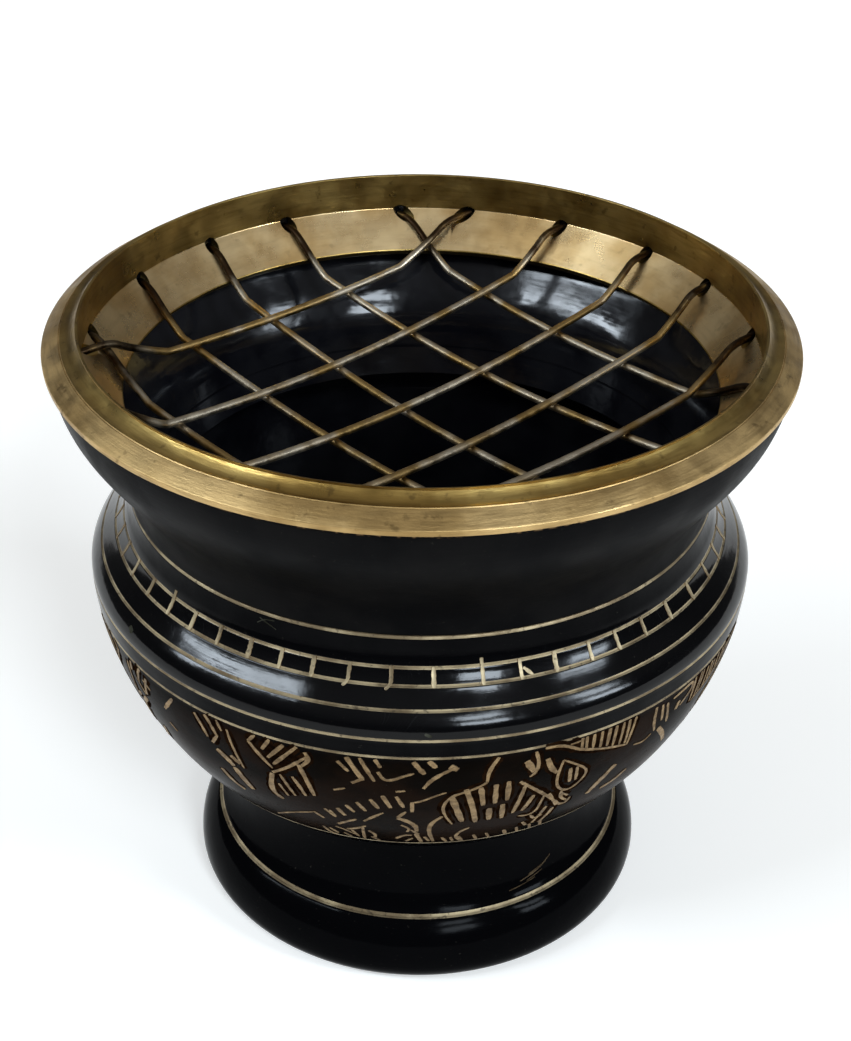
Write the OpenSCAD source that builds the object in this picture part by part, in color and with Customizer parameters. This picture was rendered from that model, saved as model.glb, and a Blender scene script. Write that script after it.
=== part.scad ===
// Table incense burner of turned brass: hollow foot, bellied bowl and flared
// collar, with a heavy drilled ring that carries ten wires and lifts out.

/* [Foot] */
// Height of the foot, from the table to the joint under the bowl
foot_h = 16.5; // [13:0.5:24]
// Diameter of the foot at its widest
foot_d = 49.8; // [46:0.2:60]
// Height of the widest place on the foot
foot_wide_h = 2.6; // [1.6:0.1:4]
// Diameter of the foot where the gold line runs
foot_line_d = 45.2; // [42:0.2:46]
// Height of that line
foot_line_h = 7.6; // [5:0.1:9]
// Diameter of the waist, at the joint under the bowl
waist_d = 41.0; // [36:0.2:42]
// Width of the flat ring that the burner stands on
foot_land_w = 2.7; // [1.5:0.1:5]
// Thickness of the foot's wall at the waist
foot_wall = 2.8; // [1.6:0.1:5]
// Thickness of the web that the centre screw passes through
foot_web_t = 2.6; // [1.5:0.1:4]

/* [Bowl] */
// Height of the bowl, from its joint with the foot to the collar
bowl_h = 33; // [28:0.5:40]
// Largest diameter of the bowl
bowl_d = 69.3; // [64:0.2:76]
// Height of the largest diameter above the bowl's base
bowl_wide_h = 24.8; // [21:0.2:26]
// Diameter of the bowl's base
bowl_base_d = 42.8; // [41:0.2:46]
// Height of the straight edge round the base
bowl_base_edge_h = 0.7; // [0.4:0.1:1.5]
// Outer diameter of the bowl's mouth, at the line under the collar
mouth_d = 60.3; // [56:0.2:62]
// Thickness of the bowl's wall
bowl_wall = 2.2; // [1.4:0.1:3.5]
// Thickness of the bowl's floor above the joint
bowl_floor_t = 3.0; // [2:0.1:5]

/* [Collar] */
// Height of the collar above the bowl's mouth
collar_h = 15.7; // [12:0.1:20]
// Diameter of the collar at its lip
lip_d = 74.2; // [70:0.1:78]
// Thickness of the collar's wall, measured level
collar_wall = 1.8; // [1.2:0.1:3]
// Depth that the collar's spigot reaches into the bowl
spigot_h = 3; // [2:0.1:5]

/* [Screen ring] */
// How far the ring stands out past the collar's lip
ring_overhang = 0.6; // [0.3:0.05:1]
// Height of the ring's outer edge face
ring_edge_h = 0.7; // [0.4:0.1:1.5]
// Width of the outer band, from the edge to the ridge
outer_band_w = 1.9; // [1.4:0.05:2.6]
// Height of the ridge above the ring's outer edge
ridge_rise = 1.1; // [0.6:0.05:2]
// Width of the coved band, from the ridge to the opening
cove_band_w = 1.8; // [1.2:0.05:2.6]
// Height of the opening's edge above the ridge
cove_rise = 1.0; // [0.5:0.05:2]
// Depth of the cove below a straight line
cove_depth = 0.35; // [0.1:0.05:0.5]
// Depth of the upright wall inside the opening
ring_wall_h = 4.1; // [3:0.1:5]
// Level width of the dished part below that wall
dish_w = 4.0; // [2.5:0.1:6]
// Height of the dished part
dish_h = 3.5; // [2.5:0.1:4.2]
// Thickness of the dish at its inner edge
dish_edge_t = 0.8; // [0.5:0.1:1.4]

/* [Wires] */
// Diameter of the screen wires
wire_d = 0.8; // [0.5:0.05:1.2]
// Diameter of the holes that hold the wires
wire_hole_d = 1.6; // [1.3:0.05:2]
// Height of the lower wires' ends above the top of the collar
lower_wire_h = -1.95; // [-2.4:0.05:-1.5]
// How far the lower wires hang below the dish in the middle
wire_sag = 3.1; // [1.5:0.1:5]
// Radius of the round hang of the wires
sag_r = 200; // [150:10:400]
// Width just inside the dish over which the wires drop steeply
wire_drop_w = 2.4; // [1.6:0.1:3.6]
// Direction of the upper wires, turned from the X axis
wire_angle = 43; // [0:1:90]
// How far short of the ring's outer wall the wires end
wire_end_inset = 0.2; // [0.1:0.05:0.8]
// Places of the five upper wires across the ring
upper_wire_at = [21.6, 10.5, -0.6, -10.6, -19.8];
// How far each upper wire is turned out of their common direction
upper_wire_turn = [-1, 1.5, 1, 1.5, -1.5];
// Places of the five lower wires across the ring
lower_wire_at = [20.0, 8.9, -2.5, -12.2, -23.0];
// How far each lower wire is turned out of square with the upper ones
lower_wire_turn = [-2.5, -0.5, -3, -1, -0.5];

/* [Centre screw] */
// Diameter of the centre screw
screw_d = 5; // [4:0.5:6]
// Diameter of the screw's head
screw_head_d = 9.5; // [9:0.5:12]
// Height of the screw's head
screw_head_h = 3; // [2:0.1:4]
// Size of the nut across its flats
nut_af = 8; // [7:0.5:10]
// Height of the nut
nut_h = 4; // [3:0.1:5]
// Outer diameter of the washer
washer_d = 12; // [10:0.5:16]
// Thickness of the washer
washer_t = 1; // [0.6:0.1:2]
// Length of screw below the nut
screw_tail = 1.2; // [0.5:0.1:3]

/* [Clearances] */
// Gap between the lifting ring and the collar's bore
ring_clear = 0.3; // [0.2:0.05:0.8]
// Gap between the lifting ring and the lip that carries it
seat_clear = 0.1; // [0.05:0.05:0.3]
// Gap between pieces that are brazed or screwed together
joint_clear = 0.05; // [0.03:0.01:0.1]
// Gap between the screw and the holes that it passes
screw_clear = 0.2; // [0.1:0.05:0.4]

/* [Hidden] */
$fn = 120;

enamel = "#17171a";
satin_enamel = "#232326";
old_brass = "#9a7d45";
bright_brass = "#c2a468";
steel = "#a9a9a4";
line_gold = "#b8944f";

// Steps in each curve of a profile, and in the cove
curve_n = 14;
cove_n = 6;
// Overlap that makes a cut run clean through a face
cut = 0.5;

foot_r = foot_d / 2;
foot_line_r = foot_line_d / 2;
waist_r = waist_d / 2;
bowl_r = bowl_d / 2;
base_r = bowl_base_d / 2;
mouth_r = mouth_d / 2;
lip_r = lip_d / 2;
ring_r = lip_r + ring_overhang;
ridge_r = ring_r - outer_band_w;
opening_r = ridge_r - cove_band_w;
dish_r = opening_r - dish_w;

base_z = foot_h;
wide_z = base_z + bowl_wide_h;
mouth_z = base_z + bowl_h;
lip_z = mouth_z + collar_h;

// Small bevel on both corners of the ring's outer edge
edge_bevel = 0.15;

// Ring levels, all measured up from the lip that carries the ring
seat_z = lip_z + seat_clear;
edge_z = seat_z + ring_edge_h;
ridge_z = edge_z + ridge_rise;
ring_top_z = ridge_z + cove_rise;
dish_top_z = ring_top_z - ring_wall_h;
dish_low_z = dish_top_z - dish_h;

// Register between foot and bowl: a boss under the bowl sits in a recess
boss_r = waist_r - foot_wall - 1.6;
boss_h = 1;
recess_h = boss_h + joint_clear;
web_top_z = base_z - recess_h;
web_low_z = web_top_z - foot_web_t;
floor_z = base_z + bowl_floor_t;

// Lap joint between bowl and collar
spigot_r = mouth_r - bowl_wall;
spigot_wall = 1.4;

// Turned lines, as the share of the way along the curve that each one is cut in
shoulder_lines = [0.232, 0.392, 0.638];
belly_lines = [0.015, 0.112, 0.725];
line_w = 0.5;
line_depth = 0.15;

wire_r = wire_d / 2;
hole_r = wire_hole_d / 2;
wire_gap = 0.05;
lower_wire_z = lip_z + lower_wire_h;
// A lower wire lies on the floor of its holes, an upper one runs through their middle
hole_z = lower_wire_z + hole_r - wire_r - wire_gap;
upper_wire_z = hole_z;
// Upper wires pass over the lower ones at this height
wire_lift = wire_d + wire_gap;
// They start to climb further in, by this share of that height
drop_lead = 0.75;
// Beads that round the bends in a wire
bead_r = wire_r + 0.015;
wire_fn = 32;
arc_fn = 360;
// Rise of the dish's face for each millimetre outwards, and its length for each one
dish_slope = dish_h / dish_w;
dish_slant = sqrt(1 + dish_slope * dish_slope);

// Point on a smooth curve that leaves a towards b and comes to d from c
function curve(p, t) =
    let (s = 1 - t)
    s * s * s * p[0] + 3 * s * s * t * p[1] + 3 * s * t * t * p[2] + t * t * t * p[3];
function curve_points(p, from = 0, to = 1) =
    [for (i = [0 : curve_n]) curve(p, from + (to - from) * i / curve_n)];
// Share of the way along a rising curve at which it reaches a height
function share_at(p, z, low = 0, high = 1, steps = 16) =
    let (mid = (low + high) / 2)
    steps == 0 ? mid
    : curve(p, mid)[1] < z ? share_at(p, z, mid, high, steps - 1)
    : share_at(p, z, low, mid, steps - 1);
function inset(points, x, z = 0) = [for (q = points) [q[0] - x, q[1] + z]];
// Points of a round edge, from angle a to angle b
function arc_points(cx, cz, r, a, b) =
    [for (i = [0 : curve_n]) let (t = a + (b - a) * i / curve_n) [cx + r * cos(t), cz + r * sin(t)]];

// The round shoulder of the foot, an arc that is upright at the widest place
shoulder_x = foot_r - foot_line_r;
shoulder_z = foot_line_h - foot_wide_h;
foot_arc_r = (shoulder_x * shoulder_x + shoulder_z * shoulder_z) / (2 * shoulder_x);
foot_arc_end = atan2(shoulder_z, foot_arc_r - shoulder_x);

// Profile curves, each from one named place to the next
waist_curve = [
    [foot_line_r, foot_line_h],
    [waist_r + 0.2 * (foot_line_r - waist_r), foot_line_h + 0.18 * (foot_h - foot_line_h)],
    [waist_r - 0.3, foot_line_h + 0.55 * (foot_h - foot_line_h)],
    [waist_r, foot_h]
];
belly_curve = [
    [bowl_r, wide_z],
    [bowl_r, wide_z - 0.27 * bowl_wide_h],
    [base_r + 0.64 * (bowl_r - base_r), base_z + 0.2 * bowl_wide_h],
    [base_r, base_z + bowl_base_edge_h]
];
shoulder_curve = [
    [mouth_r, mouth_z],
    [mouth_r + 0.1 * (bowl_r - mouth_r), mouth_z - 0.6 * (mouth_z - wide_z)],
    [bowl_r, wide_z + 0.28 * (mouth_z - wide_z)],
    [bowl_r, wide_z]
];
flare_curve = [
    [mouth_r, mouth_z],
    [mouth_r + 0.08 * (lip_r - mouth_r), mouth_z + 0.42 * collar_h],
    [mouth_r + 0.93 * (lip_r - mouth_r), mouth_z + 0.52 * collar_h],
    [lip_r, lip_z]
];
// The ring's plug fills this last share of the flare
plug_from = 0.735;

// A V-shaped turned line, cut into a profile at one point of its surface
module turned_line(p) {
    rotate_extrude()
        translate(p)
            polygon([
                [-line_depth, 0],
                [line_depth, -line_w / 2 - line_depth],
                [line_depth, line_w / 2 + line_depth]
            ]);
}

module foot() {
    outer = concat(
        arc_points(foot_r - foot_wide_h, foot_wide_h, foot_wide_h, -90, 0),
        arc_points(foot_r - foot_arc_r, foot_wide_h, foot_arc_r, 3, foot_arc_end),
        curve_points(waist_curve, 0.05, 1)
    );
    inner_low_r = foot_r - foot_wide_h - foot_land_w;
    inner_top_r = waist_r - foot_wall;
    color(enamel) difference() {
        rotate_extrude() polygon(concat(outer, [[0, foot_h], [0, 0]]));
        translate([0, 0, -cut])
            cylinder(h = web_low_z + cut, r1 = inner_low_r, r2 = inner_top_r);
        translate([0, 0, web_top_z]) cylinder(h = recess_h + cut, r = boss_r + joint_clear);
        cylinder(h = foot_h, r = screw_d / 2 + screw_clear);
        turned_line([foot_line_r, foot_line_h]);
    }
}

module bowl() {
    outer = concat(
        [[base_r, base_z]],
        [for (i = [curve_n : -1 : 0]) curve(belly_curve, i / curve_n)],
        [for (i = [curve_n - 1 : -1 : 0]) curve(shoulder_curve, i / curve_n)]
    );
    // The hollow follows the outside, one wall further in
    inner = concat(
        [for (i = [curve_n - 1 : -1 : 0])
            let (q = curve(belly_curve, i / curve_n))
            if (q[1] > floor_z + bowl_wall) [q[0] - bowl_wall, q[1]]],
        [for (i = [curve_n - 1 : -1 : 0]) curve(shoulder_curve, i / curve_n) - [bowl_wall, 0]]
    );
    color(enamel) difference() {
        union() {
            rotate_extrude() polygon(concat(outer, [[0, mouth_z], [0, base_z]]));
            translate([0, 0, base_z - boss_h]) cylinder(h = boss_h + cut, r = boss_r);
        }
        rotate_extrude()
            polygon(concat(
                [[0, floor_z], [inner[0][0] - bowl_wall * 2, floor_z]],
                inner,
                [[spigot_r, mouth_z + cut], [0, mouth_z + cut]]
            ));
        translate([0, 0, base_z - boss_h - cut]) cylinder(h = foot_h, r = screw_d / 2 + screw_clear);
        for (t = shoulder_lines) turned_line(curve(shoulder_curve, t));
        for (t = belly_lines) turned_line(curve(belly_curve, t));
    }
}

module collar() {
    outer = curve_points(flare_curve);
    inner = inset(outer, collar_wall);
    fit_r = spigot_r - joint_clear;
    color(satin_enamel) rotate_extrude()
        polygon(concat(
            [[fit_r, mouth_z], [fit_r, mouth_z - spigot_h], [fit_r - spigot_wall, mouth_z - spigot_h]],
            [for (i = [1 : curve_n]) inner[i]],
            [for (i = [curve_n : -1 : 0]) outer[i]]
        ));
}

module centre_screw() {
    color(steel) {
        tail_z = web_low_z - washer_t - nut_h - screw_tail;
        translate([0, 0, tail_z]) cylinder(h = floor_z - tail_z, r = screw_d / 2);
        difference() {
            translate([0, 0, floor_z]) intersection() {
                cylinder(h = screw_head_h, r = screw_head_d / 2);
                translate([0, 0, screw_head_h - screw_head_d]) sphere(r = screw_head_d);
            }
            translate([-screw_head_d, -screw_d / 8, floor_z + screw_head_h / 2])
                cube([2 * screw_head_d, screw_d / 4, screw_head_h]);
        }
    }
}

module screw_washer() {
    color(steel) translate([0, 0, web_low_z - washer_t]) difference() {
        cylinder(h = washer_t, r = washer_d / 2);
        translate([0, 0, -cut]) cylinder(h = washer_t + 2 * cut, r = screw_d / 2 + joint_clear);
    }
}

module screw_nut() {
    color(steel) translate([0, 0, web_low_z - washer_t - nut_h]) difference() {
        cylinder(h = nut_h, r = nut_af / 2 / cos(30), $fn = 6);
        translate([0, 0, -cut]) cylinder(h = nut_h + 2 * cut, r = screw_d / 2 + joint_clear);
    }
}

// Upper wires run along wire_angle and lower wires square to them, but for their own turn
module along_upper(i) {
    rotate([0, 0, wire_angle + upper_wire_turn[i]]) translate([0, upper_wire_at[i], 0]) children();
}

module along_lower(i) {
    rotate([0, 0, wire_angle - 90 + lower_wire_turn[i]]) translate([0, lower_wire_at[i], 0]) children();
}

module wire_hole() {
    translate([0, 0, hole_z]) rotate([0, 90, 0]) cylinder(h = 2 * ring_r, r = hole_r, center = true);
}

module screen_ring() {
    plug = inset(curve_points(flare_curve, plug_from, 1), collar_wall + ring_clear, seat_clear);
    cove = [for (i = [0 : cove_n])
        let (t = i / cove_n)
        [ridge_r - cove_band_w * t, ridge_z + cove_rise * t - 4 * cove_depth * t * (1 - t)]];
    color(old_brass) difference() {
        rotate_extrude() polygon(concat(
            plug,
            [[ring_r - edge_bevel, seat_z], [ring_r, seat_z + edge_bevel], [ring_r, edge_z - edge_bevel],
             [ring_r - edge_bevel, edge_z]],
            cove,
            [[opening_r, dish_top_z], [dish_r, dish_low_z], [dish_r + dish_edge_t, dish_low_z - dish_edge_t]]
        ));
        for (i = [0 : len(upper_wire_at) - 1]) along_upper(i) wire_hole();
        for (i = [0 : len(lower_wire_at) - 1]) along_lower(i) wire_hole();
    }
}

// Radius of the ring's plug at a height, where the plug follows the flare
function plug_r_at(z) = curve(flare_curve, share_at(flare_curve, z))[0] - collar_wall - ring_clear;

// Half the length of a wire whose corners stop just inside the ring's outer wall
function half_chord(at, z) =
    let (reach = plug_r_at(z - wire_r) - wire_end_inset, side = abs(at) + wire_r)
    sqrt(reach * reach - side * side);

// Distance along a wire, from its middle to where it passes a radius of the ring
function along_to(r, at) = sqrt(r * r - at * at);

// Straight stretch of wire between two corners, each given as distance along and height
module stretch(p, q) {
    run = q - p;
    translate([p[0], 0, p[1]]) rotate([0, atan2(run[0], run[1]), 0]) cylinder(h = norm(run), r = wire_r);
}

// A wire hangs round in the middle, climbs to the dish, follows it and ends level in its holes
module wire(at, level, lift) {
    foot_s = along_to(dish_r - wire_drop_w - drop_lead * lift, at);
    half_a = asin(foot_s / sag_r);
    mid_z = dish_low_z - wire_sag + lift + at * at / (2 * sag_r);
    rise = (wire_r + wire_gap + lift) * dish_slant;
    bend_r = min(opening_r, dish_r + (level - dish_low_z - rise) / dish_slope);
    corners = [
        [foot_s, mid_z + sag_r * (1 - cos(half_a))],
        [along_to(dish_r, at), dish_low_z + rise],
        [along_to(bend_r, at), level],
        [half_chord(at, level), level]
    ];
    color(bright_brass) {
        translate([0, 0, mid_z + sag_r]) rotate([90, 0, 0]) rotate([0, 0, -90 - half_a])
            rotate_extrude(angle = 2 * half_a, $fn = arc_fn)
                translate([sag_r, 0]) circle(r = wire_r, $fn = wire_fn);
        for (end = [0, 1]) mirror([end, 0, 0]) for (i = [0 : 2]) {
            translate([corners[i][0], 0, corners[i][1]]) sphere(r = bead_r, $fn = wire_fn);
            stretch(corners[i], corners[i + 1], $fn = wire_fn);
        }
    }
}

module upper_wire(i) {
    along_upper(i) wire(upper_wire_at[i], upper_wire_z, wire_lift);
}

module lower_wire(i) {
    along_lower(i) wire(lower_wire_at[i], lower_wire_z, 0);
}

foot();
bowl();
collar();
centre_screw();
screw_washer();
screw_nut();
screen_ring();
upper_wire(0);  // upper_wire_1
upper_wire(1);  // upper_wire_2
upper_wire(2);  // upper_wire_3
upper_wire(3);  // upper_wire_4
upper_wire(4);  // upper_wire_5
lower_wire(0);  // lower_wire_1
lower_wire(1);  // lower_wire_2
lower_wire(2);  // lower_wire_3
lower_wire(3);  // lower_wire_4
lower_wire(4);  // lower_wire_5
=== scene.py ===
"""Incense burner in enamelled brass: foot, bowl and collar, under a loose ring that carries a wire screen."""

import math
import random

import bmesh
import bpy
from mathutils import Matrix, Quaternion, Vector


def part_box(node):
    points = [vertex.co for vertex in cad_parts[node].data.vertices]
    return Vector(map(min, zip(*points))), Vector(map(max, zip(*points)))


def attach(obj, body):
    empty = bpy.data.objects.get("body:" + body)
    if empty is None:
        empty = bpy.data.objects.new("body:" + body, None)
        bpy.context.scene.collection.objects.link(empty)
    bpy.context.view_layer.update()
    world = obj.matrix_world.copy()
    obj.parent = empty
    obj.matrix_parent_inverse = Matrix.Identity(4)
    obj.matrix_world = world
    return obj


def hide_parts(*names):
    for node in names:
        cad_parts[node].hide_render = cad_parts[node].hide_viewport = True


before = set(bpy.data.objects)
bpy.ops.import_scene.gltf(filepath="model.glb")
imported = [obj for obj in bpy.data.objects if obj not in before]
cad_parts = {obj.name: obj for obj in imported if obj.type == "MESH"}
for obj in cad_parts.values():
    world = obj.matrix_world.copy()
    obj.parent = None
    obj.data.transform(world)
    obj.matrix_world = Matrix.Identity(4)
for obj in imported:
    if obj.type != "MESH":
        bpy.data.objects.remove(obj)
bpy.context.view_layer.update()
random.seed(7)

# ---------------------------------------------------------------- sizes, in millimetres, read from the frame
MM = 0.001
TURN_STEPS = 288
RING_STEPS = 384
SHARP_ANGLE = math.radians(32)


def corner(node, end):
    """One corner of a CAD node's box, in millimetres: end 0 is the lowest, 1 the highest."""
    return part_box(node)[end] / MM


FOOT_H = corner("foot", 1).z
FOOT_R = corner("foot", 1).x
BOWL_R = corner("bowl", 1).x
MOUTH_Z = corner("bowl", 1).z
LIP_R = corner("collar", 1).x
LIP_Z = corner("collar", 1).z
SPIGOT_Z = corner("collar", 0).z
RING_R = corner("screen_ring", 1).x
RING_TOP_Z = corner("screen_ring", 1).z
RING_LOW_Z = corner("screen_ring", 0).z
BOSS_Z = corner("bowl", 0).z

FOOT_WIDE_H = 2.6
FOOT_LINE_R, FOOT_LINE_Z = 22.6, 7.6
FOOT_LAND_W = 2.7
WAIST_R = 20.5
FOOT_WALL = 2.8
FOOT_WEB_LOW, FOOT_WEB_TOP = 12.85, 15.45
BOSS_R = 16.1
SCREW_HOLE_R = 2.7

BASE_R = 21.4
BASE_EDGE_H = 0.7
WIDE_Z = FOOT_H + 24.8
MOUTH_R = 30.15
BOWL_WALL = 2.2
FLOOR_Z = FOOT_H + 3

COLLAR_H = LIP_Z - MOUTH_Z
COLLAR_WALL = 1.8
SPIGOT_R = 27.9
SPIGOT_WALL = 1.4

SEAT_Z = LIP_Z + 0.1
EDGE_Z = SEAT_Z + 0.7
RIDGE_R, RIDGE_Z = RING_R - 1.9, EDGE_Z + 1.1
OPENING_R = RIDGE_R - 1.8
COVE_DEPTH = 0.35
DISH_TOP_Z = RING_TOP_Z - 4.1
DISH_R, DISH_LOW_Z = OPENING_R - 4.0, DISH_TOP_Z - 3.5
RING_CLEAR = 0.3

WIRE_R = 0.4
BEAD_R = 0.415
HOLE_R = 0.8
WIRE_GAP = 0.05
WIRE_LIFT = 2 * WIRE_R + WIRE_GAP
SAG_R = 200
DROP_W = 2.4
DROP_LEAD = 0.75
DISH_SLOPE = (DISH_TOP_Z - DISH_LOW_Z) / (OPENING_R - DISH_R)

# Turned lines: share of the way along each curve, and the groove's half width and depth
SHOULDER_LINES = (0.232, 0.392, 0.638)
BELLY_LINES = (0.015, 0.112, 0.725)
LINE_HALF_W = 0.165
LINE_DEPTH = 0.09
JOINT_LINE_DEPTH = 0.14

# ---------------------------------------------------------------- profile curves, the same as the CAD model's
WAIST_CURVE = (
    (FOOT_LINE_R, FOOT_LINE_Z),
    (WAIST_R + 0.2 * (FOOT_LINE_R - WAIST_R), FOOT_LINE_Z + 0.18 * (FOOT_H - FOOT_LINE_Z)),
    (WAIST_R - 0.3, FOOT_LINE_Z + 0.55 * (FOOT_H - FOOT_LINE_Z)),
    (WAIST_R, FOOT_H),
)
BELLY_CURVE = (
    (BOWL_R, WIDE_Z),
    (BOWL_R, WIDE_Z - 0.27 * (WIDE_Z - FOOT_H)),
    (BASE_R + 0.64 * (BOWL_R - BASE_R), FOOT_H + 0.2 * (WIDE_Z - FOOT_H)),
    (BASE_R, FOOT_H + BASE_EDGE_H),
)
SHOULDER_CURVE = (
    (MOUTH_R, MOUTH_Z),
    (MOUTH_R + 0.1 * (BOWL_R - MOUTH_R), MOUTH_Z - 0.6 * (MOUTH_Z - WIDE_Z)),
    (BOWL_R, WIDE_Z + 0.28 * (MOUTH_Z - WIDE_Z)),
    (BOWL_R, WIDE_Z),
)
FLARE_CURVE = (
    (MOUTH_R, MOUTH_Z),
    (MOUTH_R + 0.08 * (LIP_R - MOUTH_R), MOUTH_Z + 0.42 * COLLAR_H),
    (MOUTH_R + 0.93 * (LIP_R - MOUTH_R), MOUTH_Z + 0.52 * COLLAR_H),
    (LIP_R, LIP_Z),
)


def bezier(curve, t):
    """Point (radius, height) on a cubic curve."""
    s = 1 - t
    weights = (s**3, 3 * s * s * t, 3 * s * t * t, t**3)
    return tuple(sum(w * p[k] for w, p in zip(weights, curve)) for k in (0, 1))


def outward(curve, t):
    """Unit normal (radius, height) that points out of the body, and the curve's speed there."""
    step = 1e-4
    (r0, z0), (r1, z1) = bezier(curve, t - step), bezier(curve, t + step)
    dr, dz = r1 - r0, z1 - z0
    size = math.hypot(dr, dz)
    normal = (dz / size, -dr / size)
    if normal[0] < 0:
        normal = (-normal[0], -normal[1])
    return normal, size / (2 * step)


def share_at(curve, z):
    """Share of the way along a curve at which it reaches a height."""
    rising = curve[3][1] > curve[0][1]
    low, high = 0.0, 1.0
    for _ in range(30):
        middle = (low + high) / 2
        if (bezier(curve, middle)[1] < z) == rising:
            low = middle
        else:
            high = middle
    return (low + high) / 2


def curve_surface(curve, z):
    """Radius of a turned curve at a height, and its outward normal."""
    t = share_at(curve, z)
    return bezier(curve, t)[0], outward(curve, t)[0]


def bowl_surface(z):
    """Radius and outward normal of the bowl at a height."""
    return curve_surface(BELLY_CURVE if z < WIDE_Z else SHOULDER_CURVE, z)


def waist_surface(z):
    """Radius and outward normal of the foot's waist at a height."""
    return curve_surface(WAIST_CURVE, z)


# ---------------------------------------------------------------- mesh helpers
def make_piece(name, points, faces, finishes, marks=None):
    """A mesh object from points in millimetres. marks gives each face the number of its finish."""
    mesh = bpy.data.meshes.new(name)
    mesh.from_pydata([Vector(p) * MM for p in points], [], faces)
    for finish in finishes:
        mesh.materials.append(finish)
    if marks:
        mesh.polygons.foreach_set("material_index", marks)
    tidy = bmesh.new()
    tidy.from_mesh(mesh)
    bmesh.ops.recalc_face_normals(tidy, faces=tidy.faces)
    tidy.to_mesh(mesh)
    tidy.free()
    mesh.polygons.foreach_set("use_smooth", [True] * len(mesh.polygons))
    mesh.set_sharp_from_angle(angle=SHARP_ANGLE)
    piece = bpy.data.objects.new(name, mesh)
    bpy.context.scene.collection.objects.link(piece)
    return piece


def revolve(name, profile, finishes, steps=TURN_STEPS):
    """A closed profile of (radius, height, finish number) turned round the Z axis.

    A point's number is that of the stretch after it."""
    count = len(profile)
    points, faces, marks = [], [], []
    for k in range(steps):
        a = math.tau * k / steps
        points += [(r * math.sin(a), -r * math.cos(a), z) for r, z, _ in profile]
    for k in range(steps):
        here, there = k * count, (k + 1) % steps * count
        for i in range(count):
            j = (i + 1) % count
            faces.append((here + i, here + j, there + j, there + i))
            marks.append(profile[i][2])
    return make_piece(name, points, faces, finishes, marks)


def grooved(curve, lines=(), start=0.0, end=1.0, steps=60):
    """Profile points along a curve in finish 0, with a turned groove in finish 1 at each share in lines."""
    cuts = []
    for t in lines:
        normal, speed = outward(curve, t)
        reach = LINE_HALF_W / speed
        r, z = bezier(curve, t)
        floor = (r - LINE_DEPTH * normal[0], z - LINE_DEPTH * normal[1])
        cuts.append((t - reach, t, t + reach, floor))
    found = [
        (t, bezier(curve, t), 0)
        for t in (start + (end - start) * i / steps for i in range(steps + 1))
        if not any(a <= t <= b for a, _, b, _ in cuts)
    ]
    forward = end > start
    for a, t, b, floor in cuts:
        first, last = (a, b) if forward else (b, a)
        found += [(first, bezier(curve, first), 1), (t, floor, 1), (last, bezier(curve, last), 0)]
    found.sort(key=lambda item: item[0], reverse=not forward)
    return [(r, z, mark) for _, (r, z), mark in found]


def arc(cx, cz, radius, start, end, steps=24):
    """Profile points on a circle in finish 0, from one angle to another, in degrees."""
    turns = [math.radians(start + (end - start) * i / steps) for i in range(steps + 1)]
    return [(cx + radius * math.cos(a), cz + radius * math.sin(a), 0) for a in turns]


def rounded(corners, steps=4):
    """Profile points through corners (radius, height, finish, rounding), each rounded by its own amount."""
    found = []
    for i, (r, z, finish, size) in enumerate(corners):
        if size == 0:
            found.append((r, z, finish))
            continue
        before, after = Vector(corners[i - 1][:2]), Vector(corners[(i + 1) % len(corners)][:2])
        here = Vector((r, z))
        a = here + (before - here).normalized() * size
        b = here + (after - here).normalized() * size
        for k in range(steps + 1):
            t = k / steps
            p = a * (1 - t) ** 2 + here * 2 * t * (1 - t) + b * t * t
            found.append((p.x, p.y, finish))
    return found


def smoothed(points, rounds=2):
    """A line of points with its corners cut off again and again; its ends stay."""
    for _ in range(rounds):
        cut = [points[0]]
        for p, q in zip(points, points[1:]):
            for share in (0.25, 0.75):
                cut.append(tuple((1 - share) * a + share * b for a, b in zip(p, q)))
        points = cut + [points[-1]]
    return points


def tube(path, radius, sides=12):
    """Points and faces of a closed round tube along a path."""
    points, faces = [], []
    up = Vector((0, 0, 1))
    for i, p in enumerate(path):
        ahead = (path[min(i + 1, len(path) - 1)] - path[max(i - 1, 0)]).normalized()
        side = ahead.cross(up).normalized()
        rise = side.cross(ahead)
        for k in range(sides):
            a = math.tau * k / sides
            points.append(p + side * radius * math.cos(a) + rise * radius * math.sin(a))
    for i in range(len(path) - 1):
        for k in range(sides):
            j = (k + 1) % sides
            faces.append((i * sides + k, i * sides + j, (i + 1) * sides + j, (i + 1) * sides + k))
    last = (len(path) - 1) * sides
    faces += [tuple(range(sides)), tuple(last + k for k in range(sides))]
    return points, faces


# ---------------------------------------------------------------- finishes
NOISE_ROUGHNESS = 0.55
BROWNED_LOW_Z, BROWNED_TOP_Z = 23.2, 38.4
BRIGHT_LOW_Z, BRIGHT_TOP_Z = 41, 47


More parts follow.
